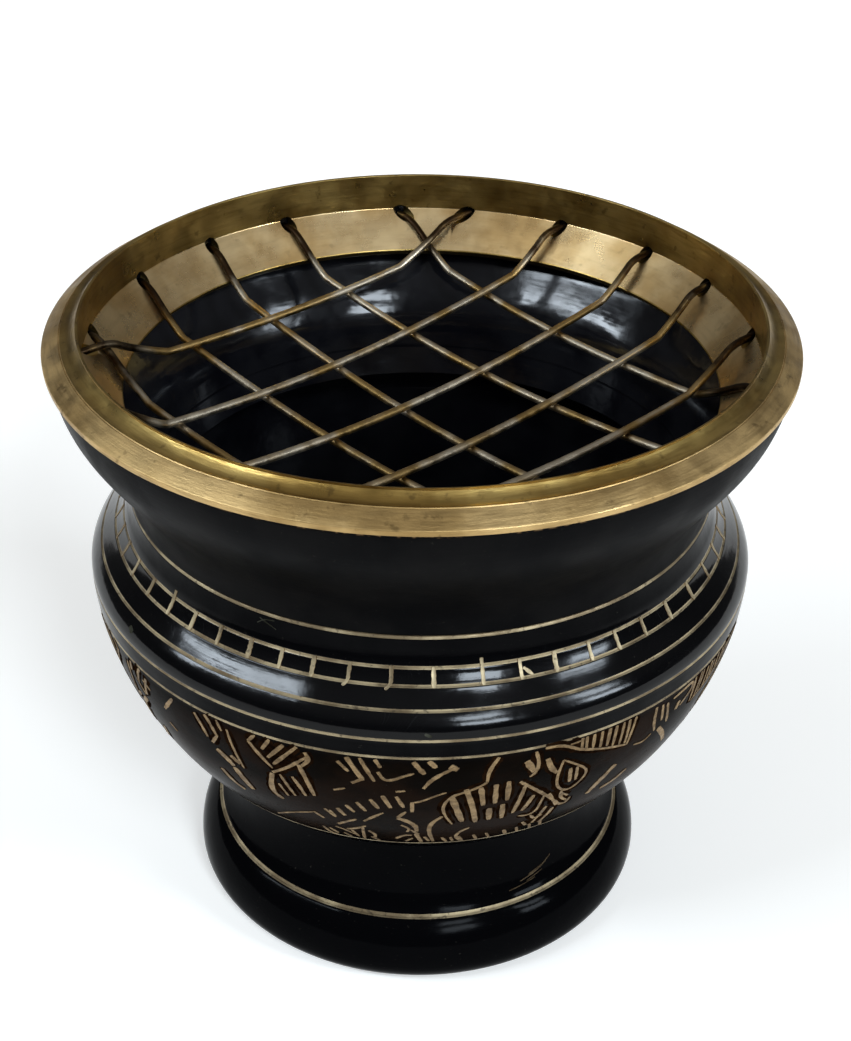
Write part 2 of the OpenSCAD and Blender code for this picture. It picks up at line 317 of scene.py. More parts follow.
class Finish:
    """A node material in the making. Each call adds nodes and gives back the socket to carry on from."""

    def __init__(self, name, colour, metallic, roughness):
        self.material = bpy.data.materials.new(name)
        self.material.use_nodes = True
        self.tree = self.material.node_tree
        self.shader = self.tree.nodes["Principled BSDF"]
        self.shader.inputs["Base Color"].default_value = (*colour, 1)
        self.shader.inputs["Metallic"].default_value = metallic
        self.shader.inputs["Roughness"].default_value = roughness
        self.place = self.tree.nodes.new("ShaderNodeTexCoord").outputs["Object"]
        split = self.add("ShaderNodeSeparateXYZ", {0: self.place})
        self.height = split.outputs["Z"]
        flat = self.add("ShaderNodeCombineXYZ", {0: split.outputs["X"], 1: split.outputs["Y"]})
        span = self.add("ShaderNodeVectorMath", {0: flat.outputs[0]}, operation="LENGTH")
        self.radius = span.outputs["Value"]
        self.turn = self.sum("ARCTAN2", split.outputs["X"], split.outputs["Y"])

    def add(self, kind, inputs=None, **settings):
        node = self.tree.nodes.new(kind)
        for key, value in settings.items():
            setattr(node, key, value)
        for key, value in (inputs or {}).items():
            self.put(node.inputs[key], value)
        return node

    def put(self, socket, value):
        if isinstance(value, bpy.types.NodeSocket):
            self.tree.links.new(value, socket)
        else:
            socket.default_value = value

    def sum(self, operation, a, b=0.0):
        return self.add("ShaderNodeMath", {0: a, 1: b}, operation=operation).outputs[0]

    def lathe_place(self, along=0.0015):
        """Coordinates that run fast across a turned surface and slowly round it."""
        drawn = self.sum("MULTIPLY", self.turn, along)
        return self.add("ShaderNodeCombineXYZ", {0: self.radius, 1: self.height, 2: drawn}).outputs[0]

    def noise(self, size, detail=3.0, where=None):
        """Cloudy noise whose lumps are about size millimetres across."""
        place = where or self.place
        values = {"Vector": place, "Scale": 1 / (size * MM), "Detail": detail, "Roughness": NOISE_ROUGHNESS}
        return self.add("ShaderNodeTexNoise", values).outputs["Fac"]

    def levels(self, value, low, high, to_low=0.0, to_high=1.0):
        values = {"Value": value, "From Min": low, "From Max": high, "To Min": to_low, "To Max": to_high}
        return self.add("ShaderNodeMapRange", values, interpolation_type="SMOOTHSTEP").outputs[0]

    def blend(self, share, a, b):
        """Colour a where share is 0 and colour b where it is 1."""
        a, b = (c if isinstance(c, bpy.types.NodeSocket) else (*c, 1) for c in (a, b))
        mix = self.add("ShaderNodeMix", {"Factor": share, 6: a, 7: b}, data_type="RGBA")
        return mix.outputs[2]

    def band(self, value, low, high, soft):
        """1 where value lies between low and high millimetres, with soft edges, and 0 elsewhere."""
        rise = self.levels(value, (low - soft) * MM, (low + soft) * MM)
        fall = self.levels(value, (high - soft) * MM, (high + soft) * MM, 1.0, 0.0)
        return self.sum("MULTIPLY", rise, fall)

    def finish(self, colour=None, roughness=None, heights=()):
        """Joins colour, roughness and bumps, each a (height, depth in millimetres), to the shader."""
        if colour is not None:
            self.put(self.shader.inputs["Base Color"], colour)
        if roughness is not None:
            self.put(self.shader.inputs["Roughness"], roughness)
        normal = None
        for height, depth in heights:
            bump = self.add("ShaderNodeBump", {"Height": height, "Distance": depth * MM, "Strength": 1.0})
            if normal is not None:
                self.put(bump.inputs["Normal"], normal)
            normal = bump.outputs["Normal"]
        if normal is not None:
            self.put(self.shader.inputs["Normal"], normal)
        return self.material


def scratches(make, size, thin):
    """Thin random hairlines: 1 on a line and 0 between."""
    bent = make.noise(size * 4, 2)
    twisted = make.add("ShaderNodeVectorMath", {0: make.place, 1: bent}, operation="ADD").outputs[0]
    cells = make.add(
        "ShaderNodeTexVoronoi", {"Vector": twisted, "Scale": 1 / (size * MM)}, feature="DISTANCE_TO_EDGE"
    ).outputs["Distance"]
    return make.levels(cells, 0.0, thin, 1.0, 0.0)


def glossy_enamel():
    """Thick black enamel: bright on the shoulder, dull on the foot, dullest and brown in the band."""
    make = Finish("glossy_black_enamel", (0.006, 0.006, 0.007), 0.0, 0.16)
    band = make.band(make.height, BROWNED_LOW_Z, BROWNED_TOP_Z, 1.2)
    clouds = make.noise(9, 4)
    ground = make.blend(make.levels(clouds, 0.4, 0.62), (0.0025, 0.0016, 0.001), (0.0085, 0.0038, 0.0018))
    colour = make.blend(band, (0.0012, 0.0012, 0.0015), ground)
    dust = make.levels(make.noise(0.35, 2), 0.7, 0.78)
    colour = make.blend(make.sum("MULTIPLY", dust, 0.12), colour, (0.1, 0.09, 0.07))
    shoulder = make.band(make.height, BRIGHT_LOW_Z, BRIGHT_TOP_Z, 0.7)
    gloss = make.levels(make.noise(5, 3), 0.3, 0.7, 0.025, 0.04)
    gloss = make.sum("MULTIPLY", gloss, make.levels(make.height, 38 * MM, 40 * MM, 0.16, 1.0))
    foot = make.levels(make.height, 16 * MM, 17 * MM, 0.011, 0.0)
    gloss = make.sum("ADD", gloss, make.sum("ADD", foot, make.sum("MULTIPLY", shoulder, 0.15)))
    make.put(make.shader.inputs["Specular IOR Level"], gloss)
    hair = make.sum("MULTIPLY", scratches(make, 7, 0.012), make.levels(make.noise(5, 2), 0.5, 0.6))
    rough = make.levels(make.noise(6, 3), 0.3, 0.7, 0.08, 0.14)
    rough = make.sum("ADD", rough, make.sum("MULTIPLY", band, 0.14))
    rough = make.sum("ADD", rough, make.sum("MULTIPLY", hair, 0.2))
    lathe = make.noise(0.5, 2, make.lathe_place())
    return make.finish(colour, rough, [(make.noise(5, 2), 0.05), (lathe, 0.006), (make.noise(0.5, 2), 0.004)])


def satin_enamel():
    """The duller black of the collar, with faint turning marks and brass showing at the lip."""
    make = Finish("satin_black_enamel", (0.012, 0.012, 0.013), 0.0, 0.42)
    make.shader.inputs["Specular IOR Level"].default_value = 0.022
    clouds = make.noise(7, 4)
    colour = make.blend(make.levels(clouds, 0.35, 0.65), (0.002, 0.002, 0.0023), (0.0045, 0.0042, 0.0042))
    dust = make.levels(make.noise(0.3, 2), 0.68, 0.77)
    colour = make.blend(make.sum("MULTIPLY", dust, 0.12), colour, (0.1, 0.09, 0.07))
    chips = make.levels(make.noise(0.9, 3), 0.5, 0.58)
    worn = make.sum("MULTIPLY", chips, make.levels(make.height, (LIP_Z - 0.45) * MM, (LIP_Z - 0.1) * MM))
    colour = make.blend(worn, colour, (0.33, 0.2, 0.09))
    rough = make.levels(make.noise(5, 3), 0.3, 0.7, 0.34, 0.5)
    lathe = make.noise(0.35, 3, make.lathe_place())
    return make.finish(colour, rough, [(lathe, 0.012), (make.noise(0.4, 2), 0.006)])


def inner_enamel():
    """The bright black inside the collar and bowl, with the streaks that a brush leaves."""
    make = Finish("inner_black_enamel", (0.01, 0.01, 0.012), 0.0, 0.14)
    make.shader.inputs["Specular IOR Level"].default_value = 0.22
    clouds = make.levels(make.noise(6, 4), 0.35, 0.65)
    colour = make.blend(clouds, (0.002, 0.002, 0.003), (0.005, 0.005, 0.006))
    rough = make.levels(make.noise(4, 3), 0.3, 0.7, 0.08, 0.18)
    lathe = make.noise(1.2, 2, make.lathe_place(0.004))
    return make.finish(colour, rough, [(lathe, 0.015), (make.noise(3, 2), 0.04)])


def gilt_line():
    """Bare brass in a turned groove, dulled in patches."""
    make = Finish("gilt_line", (0.4, 0.31, 0.17), 0.75, 0.5)
    patches = make.levels(make.noise(4, 5), 0.38, 0.62)
    colour = make.blend(patches, (0.17, 0.125, 0.07), (0.38, 0.305, 0.185))
    specks = make.levels(make.noise(0.6, 2), 0.6, 0.7)
    colour = make.blend(make.sum("MULTIPLY", specks, 0.7), colour, (0.06, 0.045, 0.03))
    rough = make.levels(make.noise(0.8, 3), 0.3, 0.7, 0.42, 0.62)
    return make.finish(colour, rough, [(make.noise(0.25, 3, make.lathe_place()), 0.01)])


def cut_brass(name, dark, light, metallic):
    """A mark in the enamel, mottled from cut to cut: brass, or hurt enamel where metallic is 0."""
    make = Finish(name, light, metallic, 0.45)
    make.shader.inputs["Specular IOR Level"].default_value = 0.2 * metallic
    colour = make.blend(make.levels(make.noise(1.1, 4), 0.35, 0.65), dark, light)
    specks = make.levels(make.noise(0.22, 3), 0.56, 0.66)
    colour = make.blend(make.sum("MULTIPLY", specks, 0.5), colour, tuple(0.4 * c for c in dark))
    rough = make.levels(make.noise(0.5, 3), 0.3, 0.7, 0.4, 0.64)
    return make.finish(colour, rough, [(make.noise(0.18, 3), 0.02)])


def aged_brass(name, dull, clean, rough_from, rough_to, lathe_depth, grain_depth, stain=1.0):
    """Turned brass that has yellowed and tarnished, with the tool's marks running round it."""
    make = Finish(name, clean, 1.0, rough_from)
    round_marks = make.lathe_place(0.004)
    age = make.levels(make.noise(9, 5), 0.36, 0.62)
    colour = make.blend(age, dull, clean)
    streaks = make.levels(make.noise(0.5, 4, round_marks), 0.45, 0.7)
    colour = make.blend(make.sum("MULTIPLY", streaks, 0.35 * stain), colour, tuple(0.45 * c for c in dull))
    spots = make.levels(make.noise(1.4, 5), 0.6, 0.72)
    colour = make.blend(make.sum("MULTIPLY", spots, 0.55 * stain), colour, (0.09, 0.055, 0.02))
    rough = make.levels(make.noise(3, 4), 0.3, 0.7, rough_from, rough_to)
    marks = make.noise(0.22, 3, round_marks)
    dents, grain = make.noise(6, 2), make.noise(0.25, 3)
    return make.finish(colour, rough, [(dents, 0.06), (marks, lathe_depth), (grain, grain_depth)])


def wire_brass():
    """Drawn wire: yellow in the open, silvery where it has been rubbed, and dark near the ring, partly soot
    and partly painted shade where it runs up into the holes.
    """
    make = Finish("drawn_wire_brass", (0.5, 0.4, 0.2), 1.0, 0.3)
    colour = make.blend(make.levels(make.noise(7, 2), 0.42, 0.6), (0.27, 0.175, 0.065), (0.42, 0.36, 0.27))
    # Painted shade: the wires darken from 27 mm out to the ring and its holes, partly soot and partly painted
    # shade.
    soot_and_shade = make.levels(make.radius, 27 * MM, 29.8 * MM)
    soot_and_shade = make.sum("MULTIPLY", soot_and_shade, make.levels(make.noise(2.5, 3), 0.3, 0.55, 0.7, 1.0))
    colour = make.blend(soot_and_shade, colour, (0.022, 0.012, 0.006))
    rough = make.levels(make.noise(1.2, 3), 0.3, 0.7, 0.3, 0.54)
    return make.finish(colour, rough, [(make.noise(0.3, 3), 0.02)])


def plain_steel():
    """Zinc-plated steel of the hidden screw, washer and nut."""
    make = Finish("plated_steel", (0.5, 0.5, 0.48), 1.0, 0.35)
    colour = make.blend(make.levels(make.noise(2, 4), 0.35, 0.65), (0.28, 0.26, 0.23), (0.56, 0.56, 0.55))
    rough = make.levels(make.noise(1, 3), 0.3, 0.7, 0.28, 0.5)
    return make.finish(colour, rough, [(make.noise(0.3, 3), 0.02)])


enamel = glossy_enamel()
satin = satin_enamel()
inner = inner_enamel()
gilt = gilt_line()
chisel = cut_brass("chiselled_brass", (0.14, 0.087, 0.04), (0.29, 0.192, 0.094), 0.5)
chisel_edge = cut_brass("chisel_edge", (0.04, 0.026, 0.014), (0.09, 0.062, 0.034), 0.2)
worn_enamel = cut_brass("worn_enamel", (0.02, 0.019, 0.013), (0.05, 0.05, 0.038), 0.0)
bruised_enamel = cut_brass("bruised_enamel", (0.004, 0.0018, 0.001), (0.014, 0.006, 0.0025), 0.0)
rim_brass = aged_brass("rim_brass", (0.265, 0.165, 0.045), (0.44, 0.305, 0.1), 0.27, 0.42, 0.02, 0.004)
band_brass = aged_brass("band_brass", (0.34, 0.22, 0.085), (0.57, 0.395, 0.175), 0.4, 0.58, 0.025, 0.02)
dish_brass = aged_brass("dish_brass", (0.58, 0.38, 0.16), (0.8, 0.6, 0.32), 0.25, 0.34, 0.01, 0.003, 0.35)
raw_brass = aged_brass("raw_brass", (0.16, 0.10, 0.045), (0.30, 0.21, 0.1), 0.5, 0.7, 0.05, 0.03)
drawn_wire = wire_brass()
steel = plain_steel()


# ---------------------------------------------------------------- the burner: foot, bowl and collar
def dress(piece, body, slot, *nodes):
    """Ties a piece to its body, in place of the CAD nodes that it stands for. The slot argument is not used.
    """
    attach(piece, body)
    if nodes:
        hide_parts(*nodes)
    return piece


def build_foot():
    """The turned foot, open underneath, with its gold line."""
    shoulder_x, shoulder_z = FOOT_R - FOOT_LINE_R, FOOT_LINE_Z - FOOT_WIDE_H
    big_r = (shoulder_x**2 + shoulder_z**2) / (2 * shoulder_x)
    top_angle = math.degrees(math.atan2(shoulder_z, big_r - shoulder_x))
    half_line = math.degrees(LINE_HALF_W / big_r)
    edge_r = FOOT_R - FOOT_WIDE_H
    inner_low_r = edge_r - FOOT_LAND_W
    inner_top_r = WAIST_R - FOOT_WALL
    profile = arc(edge_r, FOOT_WIDE_H, FOOT_WIDE_H, -90, 0)
    profile += arc(FOOT_R - big_r, FOOT_WIDE_H, big_r, 3, top_angle - half_line)
    profile[-1] = (*profile[-1][:2], 1)
    profile.append((FOOT_LINE_R - 0.12, FOOT_LINE_Z - 0.05, 1))
    profile += grooved(WAIST_CURVE, start=0.05, steps=32)
    profile += rounded(
        [
            (BOSS_R + 0.05, FOOT_H, 2, 0),
            (BOSS_R + 0.05, FOOT_WEB_TOP, 2, 0),
            (SCREW_HOLE_R, FOOT_WEB_TOP, 2, 0.2),
            (SCREW_HOLE_R, FOOT_WEB_LOW, 2, 0.2),
            (inner_top_r, FOOT_WEB_LOW, 2, 1.2),
            (inner_low_r, 0, 2, 0.25),
        ]
    )
    return revolve("enamelled_foot", profile, [enamel, gilt, raw_brass])


def build_bowl():
    """The bellied bowl with its turned lines."""
    wall = [(r - BOWL_WALL, z, 2) for r, z, _ in grooved(SHOULDER_CURVE, steps=24)]
    belly = grooved(BELLY_CURVE, start=0.04, steps=30)
    wall += [(r - BOWL_WALL, z, 2) for r, z, _ in belly if z > FLOOR_Z + BOWL_WALL]
    profile = rounded([(BOSS_R, FOOT_H, 0, 0), (BASE_R, FOOT_H, 0, 0.25), (BASE_R, FOOT_H + 0.45, 0, 0)])
    profile += grooved(BELLY_CURVE, BELLY_LINES, start=1, end=0, steps=90)
    profile += grooved(SHOULDER_CURVE, SHOULDER_LINES, start=0.99, end=0.014, steps=60)
    profile[-1] = (*profile[-1][:2], 1)
    profile.append((MOUTH_R - JOINT_LINE_DEPTH, MOUTH_Z, 0))
    profile += wall
    profile += rounded(
        [
            (wall[-1][0] - 1.6, FLOOR_Z + 0.4, 2, 0),
            (wall[-1][0] - 2.6, FLOOR_Z, 2, 0),
            (SCREW_HOLE_R, FLOOR_Z, 2, 0),
            (SCREW_HOLE_R, BOSS_Z, 2, 0),
            (BOSS_R, BOSS_Z, 2, 0.2),
        ]
    )
    return revolve("enamelled_bowl", profile, [enamel, gilt, inner])


def build_collar():
    """The flared collar and the spigot that sits in the bowl's mouth."""
    inside = [(r - COLLAR_WALL, z, 2) for r, z, _ in grooved(FLARE_CURVE, start=1, end=0.07, steps=40)]
    profile = [(SPIGOT_R, MOUTH_Z, 0), (MOUTH_R - JOINT_LINE_DEPTH, MOUTH_Z, 1)]
    profile += grooved(FLARE_CURVE, start=0.011, end=0.985, steps=60)
    profile += [(LIP_R - 0.03, LIP_Z - 0.08, 0), (LIP_R - 0.12, LIP_Z, 0)]
    profile += inside
    profile += rounded([(SPIGOT_R - SPIGOT_WALL, SPIGOT_Z, 2, 0.2), (SPIGOT_R, SPIGOT_Z, 2, 0.2)])
    return revolve("enamelled_collar", profile, [satin, gilt, inner])


dress(build_foot(), "burner", "black_enamel", "foot")
dress(build_bowl(), "burner", "black_enamel", "bowl")
dress(build_collar(), "burner", "satin_enamel", "collar")
for node in ("centre_screw", "screw_washer", "screw_nut"):
    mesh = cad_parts[node].data
    mesh.materials.clear()
    mesh.materials.append(steel)


# ---------------------------------------------------------------- engraving on the bowl
STROKE_DEEP = 0.06
STROKE_CREST = 0.05
STROKE_FLOOR = 0.015
STAIN_W = 1.35
WANDER = 0.5
BAND_LOW_Z, BAND_TOP_Z = 22.8, 38.5


def on_surface(surface, azimuth, z):
    """Point on a turned surface, and its outward normal, at degrees round from the front."""
    a = math.radians(azimuth)
    r, (nr, nz) = surface(z)
    return Vector((r * math.sin(a), -r * math.cos(a), z)), Vector((nr * math.sin(a), -nr * math.cos(a), nz))


CUT = ((-1, -STROKE_DEEP), (-0.84, STROKE_CREST), (0, STROKE_FLOOR), (0.84, STROKE_CREST), (1, -STROKE_DEEP))
CUT_MARKS = (1, 0, 0, 1, 1)
STAIN = ((-1, -STROKE_DEEP), (-0.96, STROKE_FLOOR * 0.4), (0.96, STROKE_FLOOR * 0.4), (1, -STROKE_DEEP))
STAIN_MARKS = (0, 0, 0, 0)


def cut_strokes(name, strokes, finishes, section=CUT, section_marks=CUT_MARKS, surface=bowl_surface):
    """Tapered, slightly ragged chisel marks, each a closed sliver.

    A stroke is (width, [(azimuth, height), ...]). A section's points are (share of the half width, height
    above the surface).
    """
    points, faces, marks = [], [], []
    for width, line in strokes:
        places = [on_surface(surface, a, z) for a, z in smoothed(line)]
        first = len(points)
        last = len(places) - 1
        size = len(section)
        for i, (p, normal) in enumerate(places):
            ahead = (places[min(i + 1, last)][0] - places[max(i - 1, 0)][0]).normalized()
            side = normal.cross(ahead).normalized()
            share = i / last
            half = 0.5 * width * (0.45 + 0.55 * math.sin(math.pi * min(1, 0.12 + share * 0.88)) ** 0.6)
            half *= random.uniform(0.78, 1.12)
            points += [p + side * (half * x) + normal * y for x, y in section]
        for i in range(last):
            for k in range(size):
                here, there = first + i * size, first + (i + 1) * size
                j = (k + 1) % size
                faces.append((here + k, here + j, there + j, there + k))
                marks.append(section_marks[k])
        for i in (0, last):
            faces.append(tuple(first + i * size + k for k in range(size)))
            marks.append(1)
    return make_piece(name, points, faces, finishes, marks)


# One quarter of the band, drawn as strokes of (width, [(azimuth, height), ...]), in millimetres and degrees
FAR_SPRAY = [
    (0.5, [(-47.5, 35.4), (-44, 38)]),
    (0.4, [(-53, 37.2), (-51, 36.5)]),
    (0.4, [(-48, 33.2), (-46.5, 32.4)]),
]
LEFT_SPRAY = [
    (0.5, [(-38.8, 38), (-37.7, 36.6), (-37, 35.2)]),
    (0.5, [(-36.5, 38.6), (-35.6, 37.7), (-34.6, 36)]),
    (0.45, [(-34, 38.6), (-33.3, 37.2)]),
    (0.4, [(-32.1, 37.8), (-31.8, 36), (-31.3, 34.2), (-30.7, 32.4)]),
    (0.45, [(-36.3, 34.6), (-34.4, 36.3)]),
    (0.85, [(-35.8, 33.8), (-34.2, 33), (-33, 32)]),
    (0.6, [(-32.8, 33.8), (-31.3, 32.9)]),
    (0.95, [(-33, 31.8), (-32, 30), (-31, 28.6)]),
    (0.7, [(-37, 30.2), (-35.8, 28.4), (-33.6, 27.6)]),
]
LEFT_LEAF = [
    (0.5, [(-28.1, 37.4), (-26.6, 36), (-24.4, 34.3)]),
    (0.4, [(-28.1, 37.4), (-26.6, 38.6)]),
    (0.45, [(-24, 38.5), (-25.7, 36.8)]),
    (0.5, [(-21.6, 38.3), (-24.9, 35.8)]),
    (0.5, [(-19.3, 38.5), (-24.1, 35)]),
    (0.45, [(-24.7, 33.6), (-21.7, 35), (-19.4, 36.4), (-17.6, 37.5)]),
    (0.5, [(-18, 38), (-17.3, 37.1), (-19, 35.8)]),
    (0.4, [(-23.3, 33.6), (-22.4, 32), (-21.5, 30.4)]),
    (0.45, [(-21, 33.8), (-20, 32.3), (-19.4, 30.9)]),
    (0.4, [(-24.1, 31.9), (-23, 30)]),
    (0.6, [(-19.4, 36), (-18.5, 34), (-17.7, 31.3)]),
    (0.65, [(-24.8, 33.4), (-26, 31), (-25.8, 29.6), (-24.4, 29)]),
]
SMALL_BIRDS = [
    (0.45, [(-12.7, 37.7), (-11, 36.4)]),
    (0.65, [(-11.2, 38.4), (-9.8, 36.6), (-8.7, 35.3)]),
    (0.4, [(-10.7, 34.7), (-8.9, 35.5)]),
    (0.45, [(-9.1, 38.5), (-8, 36.9), (-6.9, 35.3)]),
    (0.45, [(-6.7, 38.6), (-5.8, 37.4)]),
    (0.45, [(-6.3, 36.8), (-5.4, 35.6), (-4, 35.7), (-2.4, 36.3), (-0.6, 36.8)]),
    (0.6, [(-0.7, 38.4), (0.2, 37.5), (1.1, 36.7)]),
    (0.6, [(1.7, 38.6), (2.9, 37.6)]),
    (0.5, [(0.9, 34.5), (2.1, 35.8), (4, 36.8), (6.2, 37.6)]),
    (0.75, [(5, 37.7), (6.3, 37.2)]),
]
DASH_ROW = [
    (0.45, [(-15.6, 29.1), (-14.9, 27.9)]),
    (0.5, [(-14, 29.8), (-12.9, 28.5)]),
    (0.5, [(-12.3, 30.7), (-11, 29.5)]),
    (0.5, [(-10.3, 31.5), (-8.9, 30)]),
    (0.5, [(-7.9, 32.3), (-6.6, 30.7)]),
    (0.5, [(-5.8, 33.1), (-4.5, 31)]),
    (0.5, [(-3.5, 33.1), (-2.3, 31.2)]),
    (0.3, [(-14, 33.1), (-11.9, 33.7)]),
    (0.3, [(-3.6, 33.9), (-2, 34.1)]),
]
LOW_STEMS = [
    (0.4, [(-9.7, 27.8), (-7.8, 29), (-5.9, 30)]),
    (0.45, [(-15, 26.2), (-13, 27.2), (-11, 28)]),
    (0.45, [(-13.6, 25.2), (-11.3, 25.9), (-9.6, 26.7)]),
    (0.4, [(-17.3, 24.6), (-16, 23.4)]),
    (0.4, [(-10.2, 26.4), (-10.5, 24.2), (-10.7, 22.9)]),
    (0.4, [(-9, 23.9), (-7.6, 22.9)]),
    (0.45, [(-4.2, 24), (-2.6, 25.1), (-1, 25.2)]),
    (0.45, [(-0.3, 25.6), (0.9, 23)]),
    (0.4, [(-2.4, 23.2), (-0.9, 24.3)]),
    (0.45, [(-19, 28), (-17.3, 27)]),
    (0.45, [(-16.5, 29.2), (-14.8, 27.8)]),
    (0.45, [(-18.6, 24.6), (-17.9, 23), (-16.4, 22.8)]),
    (0.25, [(-29, 24.2), (-24, 26.4), (-18.7, 28)]),
    (0.3, [(-0.9, 32.1), (0.7, 32.4), (3.2, 33.4), (4.7, 33.8)]),
    (0.45, [(-0.9, 32.2), (-0.9, 30.4)]),
    (0.6, [(-3.5, 29.1), (-1.9, 28.6), (-0.3, 27.6), (-0.1, 26.2)]),
    (0.45, [(-3.5, 29.2), (-2, 30.4)]),
    (0.5, [(4.3, 29.5), (2.5, 28.2), (2, 26.4), (3.2, 23.2)]),
    (0.45, [(9.6, 26.6), (7.9, 25.7), (7.3, 24.4), (8.8, 22.9)]),
    (0.35, [(-15.8, 25.4), (-13.9, 24.9), (-12.4, 24)]),
    (0.35, [(-14.6, 23.9), (-13.4, 23)]),
    (0.35, [(-12.6, 25.2), (-11.7, 23.4)]),
    (0.35, [(-9.2, 25.6), (-8, 24.7), (-8.6, 23.4)]),
    (0.35, [(-2.9, 27.6), (-1.4, 26.9), (-1.9, 26)]),
    (0.35, [(-1.2, 26.6), (0.4, 25.4)]),
    (0.35, [(1.4, 24.7), (2.4, 23.3)]),
    (0.35, [(6.5, 24.3), (7.2, 23)]),
]
FAN = [
    (0.45, [(12.7, 38.4), (11.3, 36.7), (11.2, 34.9)]),
    (0.4, [(11.2, 34.9), (9.7, 34.2), (7.5, 33.6), (5.5, 33.1), (4.2, 31.5), (4.6, 29.8), (6.3, 27.7)]),
    (0.75, [(5.6, 33), (6.8, 30.5), (8, 28.1)]),
    (0.7, [(7.9, 34.1), (9.3, 31.2), (10.5, 27.7)]),
    (0.75, [(10.3, 34.2), (11.2, 31)]),
    (0.6, [(12.8, 34.4), (13.2, 31.1)]),
    (0.6, [(14.9, 34.6), (15.3, 31.3)]),
    (0.7, [(12.4, 30.3), (12.9, 27.9)]),
    (0.65, [(14.7, 30.7), (15.3, 27.8)]),
    (0.55, [(18, 33.3), (17.6, 31), (17.1, 28.5)]),
    (0.55, [(20.1, 31.3), (19.3, 29.4), (18.8, 28.6)]),
    (0.4, [(22.3, 31), (22.1, 29.4), (21.9, 27.7), (20.4, 27.2), (18.6, 27.6)]),
]
RIGHT_LEAF = [
    (0.45, [(16.9, 34.2), (18.6, 33.2), (20.9, 31.8), (23.5, 30.1), (27, 27.6)]),
    (0.5, [(23.8, 28.2), (23.3, 26.4), (22.9, 24.6)]),
    (0.5, [(25.6, 27.4), (25.3, 25.8), (24.6, 24.2)]),
    (0.45, [(23.2, 30.8), (25.4, 28.4), (28, 27.4), (28.4, 28.7)]),
    (0.45, [(25.6, 30.7), (26, 29.3), (28, 28.2)]),
    (
        0.4,
        [(24, 36.1), (23.5, 33.6), (24.3, 31.6), (26.7, 30.4)]
        + [(28.6, 31.2), (29.6, 32.5), (29, 33.7), (24, 36.1)],
    ),
    (0.45, [(25.8, 34.4), (26.5, 32)]),
    (0.4, [(27.1, 34.3), (27.7, 32)]),
    (0.8, [(17.4, 37.2), (18.3, 36.2), (19, 35.4)]),
    (0.5, [(18.8, 38.3), (19.6, 36.6), (19.4, 35.3), (18.4, 34.7)]),
    (0.7, [(21, 36.9), (21.9, 35.4), (23.3, 34.3)]),
    (0.4, [(21.3, 27), (22.6, 25.8), (24, 26.4)]),
    (0.4, [(20.4, 25.6), (21.8, 24.4)]),
    (0.35, [(24.4, 29.5), (26, 27.8)]),
    (0.35, [(26, 30.1), (27.6, 29.3)]),
]
RIGHT_HATCH = [
    (0.4, [(20.3, 38.6), (22.7, 38.4), (24.8, 37.8), (26.8, 36.9), (32, 35.7), (36.7, 34.8)]),
    (0.3, [(24.7, 38.1), (26.6, 38.2)]),
    (0.4, [(26.8, 38.5), (27, 37)]),
    (0.4, [(27.6, 38.5), (27.9, 36.7)]),
    (0.45, [(29, 38.5), (29.2, 36.5)]),
    (0.4, [(30.5, 38.5), (30.7, 36.2)]),
    (0.45, [(32, 38.5), (32.1, 36)]),
    (0.4, [(33.3, 38.5), (33.4, 35.6)]),
    (0.4, [(34.8, 38.5), (34.9, 35.3)]),
    (0.4, [(36, 38.5), (36.2, 35.1)]),
    (0.4, [(37.3, 38.5), (36.8, 34.7)]),
]
RIGHT_SPRAY = [
    (0.45, [(42, 38.2), (42.3, 36.2), (43.5, 34.4)]),
    (0.4, [(43.6, 38), (44.6, 35.5)]),
    (0.45, [(44.9, 37.8), (46.5, 34.6)]),
    (0.6, [(48.2, 35.7), (48.6, 36.8)]),
    (0.45, [(49.3, 35.9), (52, 37.2), (51.6, 38.4), (48.7, 38.1), (46.3, 37.9)]),
    (0.3, [(38.9, 34), (41.4, 33.5), (42.9, 34.2)]),
    (0.8, [(44.6, 34.4), (47.5, 32.4), (49.5, 30.6)]),
    (0.9, [(36.2, 31.8), (34.9, 30.6), (33.6, 29.2), (32.6, 27.8)]),
    (0.75, [(40.8, 29.3), (39, 28), (35.9, 27.6)]),
]
TOOTH_TOP_Z, TOOTH_LEAN = 24.4, 1.2
TEETH_AT = (4.8, 8, 11, 13.6, 17.2, 19.8, 22.6, 25)


def band_motif(quarter):
    """One quarter of the engraved band. The sprays at its two ends go where the next quarter leaves room."""
    lines = LEFT_SPRAY + LEFT_LEAF + SMALL_BIRDS + DASH_ROW + LOW_STEMS + FAN + RIGHT_LEAF + RIGHT_HATCH
    lines += [(0.4, [(a, TOOTH_TOP_Z), (a + TOOTH_LEAN, BAND_LOW_Z)]) for a in TEETH_AT]
    if quarter < 2:
        lines += FAR_SPRAY
    if quarter % 2 == 0:
        lines += RIGHT_SPRAY
    return lines


def around(lines, turn, flip, wander):
    """A copy of the strokes further round the bowl, each drawn again by hand, so a little off."""
    copies = []
    for width, line in lines:
        da, dz = random.uniform(-wander, wander), random.uniform(-wander, wander) * 0.5
        width *= random.uniform(0.95, 1.15)
        facing = -1 if flip else 1
        drawn = [(turn + facing * a + da, min(max(z + dz, BAND_LOW_Z), BAND_TOP_Z)) for a, z in line]
        copies.append((width, drawn))
    return copies


def build_engraving():
    """The strokes of the band, in four quarters, every other one flipped."""
    strokes = []
    for quarter in range(4):
        wander = 0.0 if quarter == 0 else WANDER
        strokes += around(band_motif(quarter), 90 * quarter, quarter % 2 == 1, wander)
    return cut_strokes("engraved_band", strokes, [chisel, chisel_edge])


